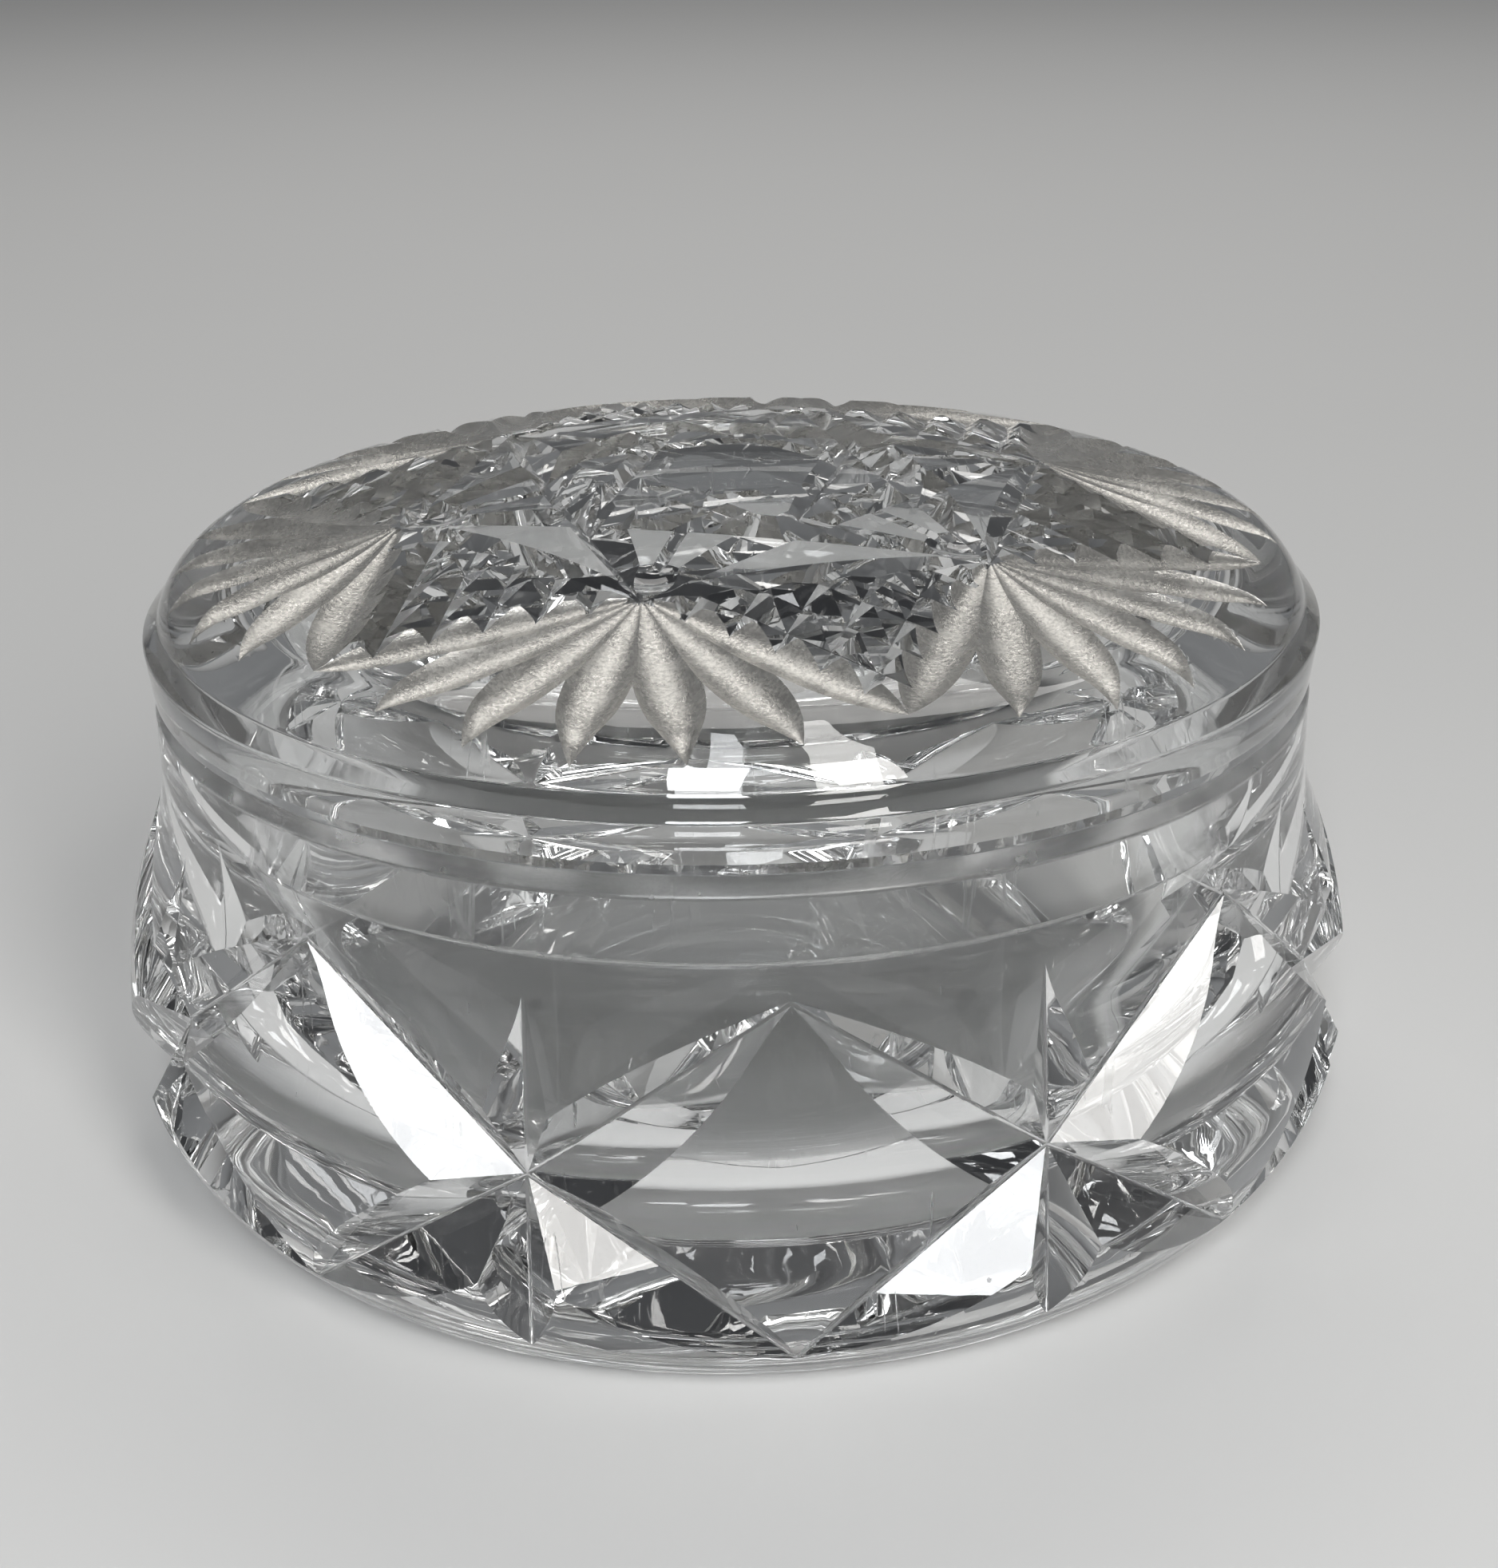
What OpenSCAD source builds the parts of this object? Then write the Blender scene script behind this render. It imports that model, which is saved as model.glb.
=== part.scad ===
// Covered candy box in cut clear crystal: a low round bowl and a domed lid without a knob.
// Origin: middle of the base, +Z up, front toward -Y. Millimetres.

/* [Bowl] */
// Widest diameter of the belly
belly_d = 150; // [130:1:170]
// Height at which the belly is widest
belly_z = 18; // [16:0.5:20]
// Height of the bowl's rim above the base
bowl_h = 59.5; // [56:0.5:64]
// Radius of the belly's curve above its widest place
belly_rise_r = 60; // [56:1:64]
// Radius of the belly's curve below its widest place
belly_under_r = 22; // [21:0.5:24]
// How far the belly stands out past the neck
neck_inset = 6.6; // [6:0.1:7.4]
// Radius of the hollow curve that leads the belly into the neck
neck_blend_r = 25; // [20:1:30]
// Wall of the neck
neck_wall = 6.2; // [5.6:0.1:7]
// Thickness of the floor
floor_t = 9.5; // [8.5:0.5:11]
// Radius of the inside corner between wall and floor
inside_r = 22; // [16:1:24]
// Size of the ground bevel round the rim
rim_bevel = 2; // [1:0.1:2.6]

/* [Lid] */
// Angle at which the lid is laid on the bowl
lid_turn = -18.3; // [-30:0.1:30]
// Play between the lid and the bowl's rim
lid_gap = 0.3; // [0.2:0.05:0.5]
// How far the lid's rim stands out past the neck
lid_overhang = 0.7; // [0.2:0.1:1.2]
// Height of the lid's rim band
rim_h = 5.9; // [5:0.1:7]
// How far the rim band leans in toward its foot
rim_lean = 0.7; // [0.3:0.1:1]
// Width of the slope between the rim band and the dome's foot
slope_w = 1.9; // [1.4:0.1:2.3]
// Height of the slope between the rim band and the dome's foot
slope_h = 2.1; // [1.6:0.1:2.6]
// Radius of the dome
dome_r = 240; // [220:5:280]
// Radius of the shoulder between the dome and its foot
shoulder_r = 8; // [7:0.5:10]
// Thickness of the dome
lid_t = 7.5; // [6.5:0.1:9]
// Depth of the locating ring below the lid's seat
ring_h = 13; // [9:0.5:14]
// Wall of the locating ring
ring_t = 4; // [3:0.1:5]
// Play round the locating ring
ring_play = 0.4; // [0.3:0.05:0.6]
// Bevel of the locating ring's lower edge
ring_bevel = 0.9; // [0.5:0.1:1.4]
// Radius of the corner between the lid's underside and its ring
hollow_r = 8; // [5:0.5:12]

/* [Bowl cuts] */
// Number of cut stars round the bowl
star_count = 8; // [6:1:9]
// Height of the upper points where neighbouring stars meet
peak_z = 46; // [44:0.5:47.5]
// Height of the lower points where neighbouring stars meet
foot_z = 6; // [5:0.5:8]
// How far the upright cuts reach above the upper points
upright_rise = 1.5; // [0:0.5:2.5]
// Depth of a star at its middle
star_depth = 4.3; // [3:0.1:5]
// Angle between the two sides of a mitre cut
mitre_angle = 97; // [90:1:106]
// Depth left where two cuts meet at a point
point_depth = 0.2; // [0.15:0.05:0.5]

/* [Lid cuts] */
// Number of fans round the lid
fan_count = 6; // [5:1:7]
// Distance of the middle leaf's tip inside the lid's edge
tip_inset = 2.9; // [2.5:0.1:4]
// Length of the middle leaf, from the fan's root to its tip
leaf_l = 27.2; // [25:0.1:30]
// How much farther in the outermost leaf's tip lies
tip_fall = 4.1; // [3:0.1:5]
// Angle between the two sides of a leaf cut
leaf_angle = 116; // [106:1:118]
// Radius of the rounded bottom of a leaf cut
leaf_bottom_r = 0.7; // [0.4:0.1:1.2]
// Depth of the leaf cuts at the fan's root
root_depth = 0.3; // [0.2:0.05:0.5]
// Depth of the deepest star cuts of the lid's middle at their ends
chord_end_depth = 0.55; // [0.4:0.05:0.8]
// Step in depth between the three kinds of cut that meet at a fan's root
chord_step = 0.12; // [0.05:0.01:0.15]
// Distance from the lid's middle at which the inward rays fade out
ray_end_r = 7; // [4:0.5:12]
// Angle between the two sides of the middle's star cuts
chord_angle = 100; // [90:1:110]
// Number of spaces that the hatching divides a field into
hatch_spaces = 6; // [4:1:7]
// Depth of the hatching cuts at their ends
hatch_depth = 0.6; // [0.4:0.05:0.8]
// Angle between the two sides of a hatching cut
hatch_angle = 120; // [110:1:124]
// Radius of the ball that the thumb cuts follow
thumb_r = 7; // [6:0.5:9]
// Depth of the thumb cuts
thumb_depth = 1; // [0.8:0.1:1.4]

/* [Hidden] */
$fn = 96;
// Finer circles for the dome, whose radius is large
dome_fn = 360;
// Overlap that keeps neighbouring shapes joined
eps = 0.01;
// How far a star's cuts run past its middle and past its points, and how far they stand out
star_back = 2;
star_run = 8;
star_rise = 13;
// How far the leaf cuts run past both ends, and how far they stand out
leaf_run = 4;
leaf_rise = 3;
// How far the cuts of the lid's middle run past both ends, and how far they stand out
chord_run = 2;
chord_rise = 5;
// How far the hatching cuts stand out
hatch_rise = 4;
// Leaves on each side of a fan's middle one
leaf_pairs = 3;
// Steepest slope of the lid's shoulder, at the dome's foot
shoulder_end = 72;
belly_r = belly_d / 2;
neck_r = belly_r - neck_inset;
mouth_r = neck_r - neck_wall;

// Belly and blend circles of the bowl's outline, as [radius, height] of their centres
rise_c = [belly_r - belly_rise_r, belly_z];
under_c = [belly_r - belly_under_r, belly_z];
blend_x = neck_r + neck_blend_r;
blend_rise = sqrt(pow(belly_rise_r + neck_blend_r, 2) - pow(blend_x - rise_c[0], 2));
blend_c = [blend_x, belly_z + blend_rise];
blend_start = rise_c + (blend_c - rise_c) * belly_rise_r / (belly_rise_r + neck_blend_r);

// Lid heights and the centres of its dome and shoulder circles
seat_z = bowl_h + lid_gap;
rim_r = neck_r + lid_overhang;
rim_top = seat_z + rim_h;
foot_r = rim_r - slope_w;
dome_foot = rim_top + slope_h;
shoulder_c = [foot_r - shoulder_r * sin(shoulder_end), dome_foot - shoulder_r * cos(shoulder_end)];
dome_z = shoulder_c[1] - sqrt(pow(dome_r - shoulder_r, 2) - pow(shoulder_c[0], 2));
dome_edge = shoulder_c[0] * dome_r / (dome_r - shoulder_r);
ring_r = mouth_r - ring_play;
ring_bore = ring_r - ring_t;
ring_z = seat_z - ring_h;
under_r = dome_r - lid_t;
hollow_x = ring_bore - hollow_r;
hollow_z = dome_z + sqrt(pow(under_r - hollow_r, 2) - pow(hollow_x, 2));
tip_r = rim_r - tip_inset;
fan_root_r = tip_r - leaf_l;

// Radius of the bowl's outside at height z, between the base and the neck
function bowl_r(z) =
    z < belly_z ? under_c[0] + sqrt(pow(belly_under_r, 2) - pow(z - belly_z, 2))
    : z < blend_start[1] ? rise_c[0] + sqrt(pow(belly_rise_r, 2) - pow(z - belly_z, 2))
    : z < blend_c[1] ? blend_c[0] - sqrt(pow(neck_blend_r, 2) - pow(z - blend_c[1], 2))
    : neck_r;

// Height of the lid's top at radius r
function lid_z(r) =
    r < dome_edge ? dome_z + sqrt(dome_r * dome_r - r * r)
    : shoulder_c[1] + sqrt(pow(shoulder_r, 2) - pow(r - shoulder_c[0], 2));

// Point at an angle from the front, radius r and height z
function round_point(angle, r, z) = [r * sin(angle), -r * cos(angle), z];

// Point on the lid's top, sunk by a depth
function lid_point(angle, r, depth = 0) = round_point(angle, r, lid_z(r) - depth);

function unit(v) = v / norm(v);

// Straight cut from one point to another, with its section opening along out
module straight_cut(from, to, out, before = 0, after = 0) {
    along = unit(to - from);
    up = unit(out - (out * along) * along);
    side = cross(up, along);
    start = from - before * along;
    multmatrix([
        [side[0], up[0], along[0], start[0]],
        [side[1], up[1], along[1], start[1]],
        [side[2], up[2], along[2], start[2]],
        [0, 0, 0, 1]
    ])
        linear_extrude(norm(to - from) + before + after)
            children();
}

// Section of a mitre cut: a V with its edge at the origin
module mitre_section(angle, height) {
    half = height * tan(angle / 2);
    polygon([[0, 0], [half, height], [-half, height]]);
}

// Section of a leaf cut: a wide V with a rounded bottom that touches the origin
module leaf_section() {
    half = leaf_angle / 2;
    touch = [leaf_bottom_r * cos(half), leaf_bottom_r * (1 - sin(half))];
    top = [touch[0] + leaf_rise * tan(half), touch[1] + leaf_rise];
    translate([0, leaf_bottom_r])
        circle(leaf_bottom_r);
    polygon([touch, top, [-top[0], top[1]], [-touch[0], touch[1]]]);
}

// Half section of the bowl's outside
module bowl_outside() {
    intersection() {
        union() {
            translate(rise_c)
                circle(belly_rise_r);
            translate([0, belly_z])
                square([neck_r, bowl_h]);
            difference() {
                polygon([
                    [0, blend_start[1]], blend_start, blend_c,
                    [neck_r, blend_c[1]], [0, blend_c[1]]
                ]);
                translate(blend_c)
                    circle(neck_blend_r);
            }
        }
        translate([0, belly_z])
            square([belly_d, bowl_h - belly_z]);
    }
    intersection() {
        union() {
            translate(under_c)
                circle(belly_under_r);
            square([under_c[0], belly_z]);
        }
        square([belly_d, belly_z]);
    }
}

// Half section of the bowl's hollow
module bowl_inside() {
    translate([0, floor_t + inside_r])
        square([mouth_r, bowl_h]);
    translate([0, floor_t])
        square([mouth_r - inside_r, inside_r + eps]);
    intersection() {
        translate([mouth_r - inside_r, floor_t + inside_r])
            circle(inside_r);
        translate([0, floor_t])
            square([belly_d, inside_r + eps]);
    }
}

module bowl_blank() {
    rotate_extrude()
        difference() {
            bowl_outside();
            bowl_inside();
            polygon([
                [neck_r - rim_bevel, bowl_h], [neck_r, bowl_h - rim_bevel],
                [neck_r + rim_bevel, bowl_h - rim_bevel], [neck_r + rim_bevel, bowl_h + eps],
                [neck_r - rim_bevel, bowl_h + eps]
            ]);
        }
}

// One six-pointed star: four slanting mitre cuts and two upright ones that meet at its middle
module bowl_star() {
    half_step = 180 / star_count;
    middle_z = (peak_z + foot_z) / 2;
    out = [0, -1, 0];
    middle = round_point(0, bowl_r(middle_z) - star_depth, middle_z);
    top_z = peak_z + upright_rise;
    for (z = [foot_z, peak_z], angle = [-half_step, half_step])
        straight_cut(middle, round_point(angle, bowl_r(z) - point_depth, z), out, star_back, star_run)
            mitre_section(mitre_angle, star_rise);
    straight_cut(middle, round_point(0, bowl_r(foot_z) - point_depth, foot_z), out, star_back, star_run)
        mitre_section(mitre_angle, star_rise);
    straight_cut(middle, round_point(0, bowl_r(top_z), top_z), out, star_back)
        mitre_section(mitre_angle, star_rise);
}

module bowl() {
    color("aliceblue")
        difference() {
            bowl_blank();
            for (i = [0 : star_count - 1])
                rotate((i + 0.5) * 360 / star_count)
                    bowl_star();
        }
}

// Half section of the lid
module lid_section() {
    difference() {
        union() {
            intersection() {
                translate([0, dome_z])
                    circle(dome_r, $fn = dome_fn);
                translate([0, dome_foot])
                    square([dome_edge, dome_r]);
            }
            intersection() {
                translate(shoulder_c)
                    circle(shoulder_r);
                translate([shoulder_c[0], dome_foot])
                    square(shoulder_r + eps);
            }
            polygon([
                [0, seat_z], [rim_r - rim_lean, seat_z], [rim_r, rim_top],
                [foot_r, dome_foot], [0, dome_foot]
            ]);
            translate([0, ring_z])
                square([ring_r, ring_h + eps]);
        }
        lid_hollow();
        polygon([
            [ring_r - ring_bevel, ring_z - eps], [ring_r + eps, ring_z - eps],
            [ring_r + eps, ring_z + ring_bevel]
        ]);
    }
}

// Half section of the lid's hollow underside
module lid_hollow() {
    intersection() {
        translate([0, dome_z])
            circle(under_r, $fn = dome_fn);
        translate([0, ring_z - eps])
            square([hollow_x * under_r / (under_r - hollow_r), dome_r]);
    }
    translate([hollow_x, hollow_z])
        circle(hollow_r);
    translate([0, ring_z - eps])
        square([ring_bore, hollow_z - ring_z + eps]);
}

// Fan of leaf cuts that spread from one root; the outermost tips are shared with the next fans
module lid_fan() {
    root = lid_point(0, fan_root_r, root_depth);
    step = 180 / fan_count / leaf_pairs;
    for (j = [-leaf_pairs : leaf_pairs]) {
        fall = tip_fall * pow(j / leaf_pairs, 2);
        straight_cut(root, lid_point(j * step, tip_r - fall), [0, 0, 1], leaf_run, leaf_run)
            leaf_section();
    }
    thumb_at = fan_root_r - thumb_r / 2;
    translate(lid_point(0, thumb_at, thumb_depth - thumb_r))
        sphere(thumb_r);
}

// Hatching of the field between two fans, in two crossing directions
module lid_hatching() {
    half_step = 180 / fan_count;
    tip = lid_point(0, tip_r - tip_fall, hatch_depth);
    for (side = [-1, 1]) {
        near = lid_point(side * half_step, fan_root_r, hatch_depth);
        far = lid_point(-side * half_step, fan_root_r, hatch_depth);
        for (k = [1 : hatch_spaces - 1]) {
            part = k / hatch_spaces;
            straight_cut(near + part * (far - near), tip + part * (far - tip), [0, 0, 1])
                mitre_section(hatch_angle, hatch_rise);
        }
    }
}

// Star cuts of the lid's middle: from each root to the next one, to the one after and inward
module lid_middle() {
    step = 360 / fan_count;
    for (i = [0 : fan_count - 1]) {
        for (skip = [1, 2]) {
            depth = chord_end_depth - (skip - 1) * chord_step;
            straight_cut(
                lid_point(i * step, fan_root_r, depth),
                lid_point((i + skip) * step, fan_root_r, depth),
                [0, 0, 1], chord_run, chord_run
            )
                mitre_section(chord_angle, chord_rise);
        }
        straight_cut(
            lid_point(i * step, fan_root_r, chord_end_depth - 2 * chord_step), lid_point(i * step, ray_end_r),
            [0, 0, 1], chord_run
        )
            mitre_section(chord_angle, chord_rise);
    }
}

module lid() {
    color("aliceblue")
        rotate(lid_turn)
            difference() {
                rotate_extrude()
                    lid_section();
                lid_middle();
                for (i = [0 : fan_count - 1])
                    rotate(i * 360 / fan_count) {
                        lid_fan();
                        rotate(180 / fan_count)
                            lid_hatching();
                    }
            }
}

bowl();
lid();
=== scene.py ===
"""Covered candy box in cut clear crystal: a star-cut bowl and a lid cut with fans of leaves."""

import itertools
import math

import bmesh
import bpy
from bpy.props import (
    FloatProperty,
    FloatVectorProperty,
    IntProperty,
    PointerProperty,
)
from mathutils import Euler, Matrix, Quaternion, Vector


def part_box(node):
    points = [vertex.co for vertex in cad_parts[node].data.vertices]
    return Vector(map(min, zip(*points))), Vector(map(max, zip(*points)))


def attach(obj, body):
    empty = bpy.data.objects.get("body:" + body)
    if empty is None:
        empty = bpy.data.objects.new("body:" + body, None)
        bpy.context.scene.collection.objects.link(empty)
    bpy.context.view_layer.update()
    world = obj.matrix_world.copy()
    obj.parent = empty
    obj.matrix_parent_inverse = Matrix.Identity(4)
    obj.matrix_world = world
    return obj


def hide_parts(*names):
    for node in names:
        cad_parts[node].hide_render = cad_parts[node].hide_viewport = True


bl_info = {
    "name": "Cut Crystal Candy Box",
    "version": (1, 0, 0),
    "blender": (4, 5, 0),
    "location": "View3D > Sidebar > Candy Box",
    "description": "Makes a covered candy box in cut crystal and its studio stage",
    "category": "Add Mesh",
}

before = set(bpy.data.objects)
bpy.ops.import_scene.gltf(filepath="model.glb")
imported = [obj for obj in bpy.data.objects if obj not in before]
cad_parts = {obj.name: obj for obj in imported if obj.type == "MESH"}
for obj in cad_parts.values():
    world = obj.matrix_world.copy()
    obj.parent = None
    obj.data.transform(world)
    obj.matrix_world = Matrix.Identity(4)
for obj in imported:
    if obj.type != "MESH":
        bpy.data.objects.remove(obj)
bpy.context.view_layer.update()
BOWL_LOW, BOWL_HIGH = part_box("bowl")
LID_LOW, LID_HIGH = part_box("lid")

MM = 0.001
FULL_TURN = 2 * math.pi
UP = Vector((0, 0, 1))
FRONT = Vector((0, -1, 0))

# Edges shorter than this are left over from the cutting
SLIVER = 0.003 * MM
# Points of an outline nearer to the axis than this lie on it
ON_AXIS = 1e-7
# Turn of a blank's first corner, which keeps the corners off the planes of the cuts
BLANK_TURN = 0.006
# Most of a line that the rounding of one of its corners may take up
EASE_SHARE = 0.4
CRYSTAL_IOR = 1.545

# The floor is a disc a little below the base, with its middle behind the box
FLOOR_R = 1.4
FLOOR_MIDDLE = (0, 0.3, -0.1 * MM)
# The place that the lamps point at, and the width in mm of the frame that the lens is for
LAMP_AIM = Vector((0, 0, 0.04))
FILM_WIDTH = 36.0

# Finishes of the glass, as marks on faces, and the inputs that take their materials
POLISHED, SATIN, GROUND = range(3)
FINISHES = ("Polished", "Satin", "Ground")


def length(label, about, millimetres):
    """A length that a user can change, written in millimetres."""
    return FloatProperty(
        name=label, description=about, default=millimetres * MM,
        min=0.0, precision=4, unit="LENGTH"
    )


def angle(label, about, degrees):
    """An angle that a user can change, written in degrees."""
    return FloatProperty(
        name=label, description=about, default=math.radians(degrees), subtype="ANGLE"
    )


def count(label, about, number):
    """A number of like cuts that a user can change."""
    return IntProperty(name=label, description=about, default=number, min=1)


def share(label, about, value):
    """A value from 0 to 1 that a user can change."""
    return FloatProperty(
        name=label, description=about, default=value,
        min=0.0, max=1.0, precision=3, subtype="FACTOR"
    )


def tint(label, about, rgb):
    """A colour that a user can change."""
    return FloatVectorProperty(
        name=label, description=about, default=rgb, size=3, min=0.0, max=1.0, subtype="COLOR"
    )


class BowlSizes(bpy.types.PropertyGroup):
    """Sizes of the bowl and of its star cuts."""

    belly_d: length("Belly", "Widest diameter of the belly", (BOWL_HIGH.x - BOWL_LOW.x) / MM)
    belly_z: length("Belly Height", "Height at which the belly is widest", 18)
    height: length("Height", "Height of the rim above the base", BOWL_HIGH.z / MM)
    rise_r: length("Rise", "Radius of the belly above its widest place", 60)
    under_r: length("Under", "Radius of the belly below its widest place", 22)
    neck_inset: length("Neck Inset", "How far the belly stands out past the neck", 6.6)
    blend_r: length("Neck Curve", "Radius of the curve from the belly into the neck", 25)
    neck_wall: length("Neck Wall", "Wall of the neck", 6.2)
    floor_t: length("Floor", "Thickness of the floor", 9.5)
    inside_r: length("Inside Corner", "Radius between the wall and the floor", 22)
    rim_bevel: length("Rim Bevel", "Size of the ground bevel round the rim", 2)
    ease: length("Edge Ease", "Rounding of the turned edges", 0.3)
    stars: count("Stars", "Number of cut stars round the bowl", 8)
    peak_z: length("Peaks", "Height of the upper points of the stars", 46)
    foot_z: length("Feet", "Height of the lower points of the stars", 6)
    upright_rise: length("Upright Rise", "Reach of the upright cuts above the peaks", 1.5)
    star_depth: length("Star Depth", "Depth of a star at its middle", 4.3)
    mitre: angle("Mitre", "Angle between the two sides of a mitre cut", 97)
    point_depth: length("Point Depth", "Depth left where two cuts meet", 0.2)
    valley_r: length("Valley", "Rounding at the bottom of a mitre cut", 0.34)


class LidSizes(bpy.types.PropertyGroup):
    """Sizes of the lid and of its leaf, star and hatching cuts."""

    turn: angle("Turn", "Angle at which the lid is laid on the bowl", -18.3)
    rim_d: length("Rim", "Diameter of the lid's rim", (LID_HIGH.x - LID_LOW.x) / MM)
    seat_z: length("Seat", "Height of the lid's seat", 59.8)
    rim_h: length("Rim Height", "Height of the rim band", 5.9)
    rim_lean: length("Rim Lean", "How far the rim band leans in toward its foot", 0.7)
    slope_w: length("Slope Width", "Width of the slope from the rim band to the dome's foot", 1.9)
    slope_h: length(
        "Slope Height", "Height of the slope from the rim band to the dome's foot", 2.1
    )
    dome_r: length("Dome", "Radius of the dome", 240)
    shoulder_r: length("Shoulder", "Radius between the dome and its foot", 8)
    shoulder_end: angle("Shoulder End", "Steepest slope of the shoulder", 72)
    lid_t: length("Thickness", "Thickness of the dome", 7.5)
    ring_r: length("Ring", "Outer radius of the locating ring", 61.8)
    ring_z: length("Ring Foot", "Height of the locating ring's lower edge", LID_LOW.z / MM)
    ring_t: length("Ring Wall", "Wall of the locating ring", 4)
    ring_bevel: length("Ring Bevel", "Bevel of the locating ring's lower edge", 1.2)
    hollow_r: length("Hollow", "Radius between the underside and the ring", 8)
    ease: length("Edge Ease", "Rounding of the turned edges", 0.3)
    fans: count("Fans", "Number of fans round the lid", 6)
    leaf_pairs: count("Leaf Pairs", "Leaves on each side of a fan's middle one", 3)
    tip_inset: length("Tip Inset", "Distance of the middle leaf's tip inside the edge", 2.9)
    leaf_l: length("Leaf", "Length of the middle leaf", 27.2)
    tip_fall: length("Tip Fall", "How much farther in the outermost tip lies", 4.1)
    leaf_w: length("Leaf Width", "Width of a leaf at its widest place", 7)
    leaf_widest: share("Leaf Widest", "Place along a leaf at which it is widest", 0.56)
    leaf_slope: angle("Leaf Slope", "Slope at which a leaf's hollow meets the glass", 46)
    chord_depth: length("Star Depth", "Depth of the deepest star cuts at their ends", 0.55)
    chord_step: length("Star Step", "Step in depth between the cuts that meet at a root", 0.12)
    chord_angle: angle("Star Angle", "Angle between the sides of the star cuts", 100)
    ray_end_r: length("Ray End", "Distance from the middle at which the rays fade out", 7)
    inner_r: length("Inner Star", "Distance of the inner star's points from the middle", 23)
    hatch_spaces: count("Hatch Spaces", "Spaces that the hatching divides a field into", 6)
    hatch_depth: length("Hatch Depth", "Depth of the hatching cuts at their ends", 0.6)
    hatch_angle: angle("Hatch Angle", "Angle between the sides of a hatching cut", 120)
    thumb_r: length("Thumb", "Radius of the ball that the thumb cuts follow", 7)
    thumb_depth: length("Thumb Depth", "Depth of the thumb cuts", 1)


class GlassLook(bpy.types.PropertyGroup):
    """Colours and finishes of the glass."""

    clear: tint("Clear", "Colour of the polished glass", (0.985, 0.99, 0.99))
    satin: tint("Satin", "Colour of the satin leaf cuts", (0.67, 0.655, 0.62))
    ground: tint("Ground", "Colour of the ground bevels and ring foot", (0.80, 0.80, 0.79))
    polish: share("Polish", "Roughness of the polished glass", 0.004)
    satin_rough: share("Satin Roughness", "Roughness of the leaf cuts", 0.262)
    ground_rough: share("Ground Roughness", "Roughness of the ground bevels and ring foot", 0.24)


class StageLook(bpy.types.PropertyGroup):
    """Floor, light and camera of the studio."""

    floor: tint("Floor", "Colour of the floor", (0.66, 0.66, 0.655))
    horizon: tint("Horizon", "Colour of the room near the floor", (0.19, 0.195, 0.20))
    ceiling: tint("Ceiling", "Colour of the room overhead", (0.025, 0.026, 0.028))
    camera_place: FloatVectorProperty(
        name="Camera", description="Place of the camera", default=(-0.0227, -0.3004, 0.1688),
        size=3, subtype="TRANSLATION", unit="LENGTH"
    )
    camera_pitch: angle("Camera Pitch", "How far the camera looks down", 23.0763)
    camera_pan: angle("Camera Pan", "How far the camera is turned about the vertical", -4.6583)
    camera_roll: angle("Camera Roll", "How far the camera is tilted about its view", -0.8932)
    lens: FloatProperty(
        name="Lens", description="Focal length on a 36 mm frame", default=60.93, min=1.0
    )


class Term:
    """A socket that takes part in plain expressions."""

    def __init__(self, graph, socket):
        self.graph = graph
        self.socket = socket

    def _math(self, operation, first, second):
        return self.graph.node("ShaderNodeMath", {"operation": operation}, {0: first, 1: second})

    def __add__(self, other):
        return self._math("ADD", self, other)

    def __radd__(self, other):
        return self._math("ADD", other, self)

    def __sub__(self, other):
        return self._math("SUBTRACT", self, other)

    def __rsub__(self, other):
        return self._math("SUBTRACT", other, self)

    def __mul__(self, other):
        return self._math("MULTIPLY", self, other)

    def __rmul__(self, other):
        return self._math("MULTIPLY", other, self)

    def __truediv__(self, other):
        return self._math("DIVIDE", self, other)

    def __rtruediv__(self, other):
        return self._math("DIVIDE", other, self)


class Graph:
    """Adds nodes to a tree."""

    def __init__(self, tree):
        self.tree = tree

    def node(self, kind, settings=None, values=None, output=0):
        """A new node, set first, then fed with values or links; gives one of its outputs."""
        node = self.tree.nodes.new(kind)
        for key, value in (settings or {}).items():
            setattr(node, key, value)
        for key, value in (values or {}).items():
            for one in value if isinstance(value, list) else [value]:
                if isinstance(one, Term):
                    self.tree.links.new(one.socket, node.inputs[key])
                else:
                    node.inputs[key].default_value = one
        return Term(self, node.outputs[output]) if node.outputs else node


def rgba(colour, factor=1.0):
    """A colour as four numbers, made darker or lighter by a factor."""
    return tuple(min(1.0, part * factor) for part in colour) + (1.0,)


def new_material(name):
    """An empty material and the graph that its nodes go into."""
    material = bpy.data.materials.new(name)
    material.use_nodes = True
    material.node_tree.nodes.clear()
    return material, Graph(material.node_tree)


def noise(graph, place, scale, detail=2.0, rough=0.5):
    """Even noise from 0 to 1 on the object's own coordinates."""
    return graph.node(
        "ShaderNodeTexNoise", None,
        {"Vector": place, "Scale": scale, "Detail": detail, "Roughness": rough}
    )


def faded(graph, value, low, high):
    """0 below low, 1 above high, and a smooth step between them."""
    return graph.node(
        "ShaderNodeMapRange", {"interpolation_type": "SMOOTHSTEP"},
        {"Value": value, "From Min": low, "From Max": high}
    )


def specks(graph, place, size, spread):
    """Small dots, about one in each cell of a size, of which a share is left."""
    cell = {"Vector": place, "Scale": 1.0 / size}
    distance = graph.node("ShaderNodeTexVoronoi", None, cell, "Distance")
    pick = graph.node("ShaderNodeTexVoronoi", None, cell, "Color")
    pick = graph.node("ShaderNodeSeparateColor", None, {"Color": pick}, "Red")
    dots = 1 - faded(graph, distance, 0.06, 0.12)
    left = 1 - faded(graph, pick, spread, spread + 0.02)
    return dots * left


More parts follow.
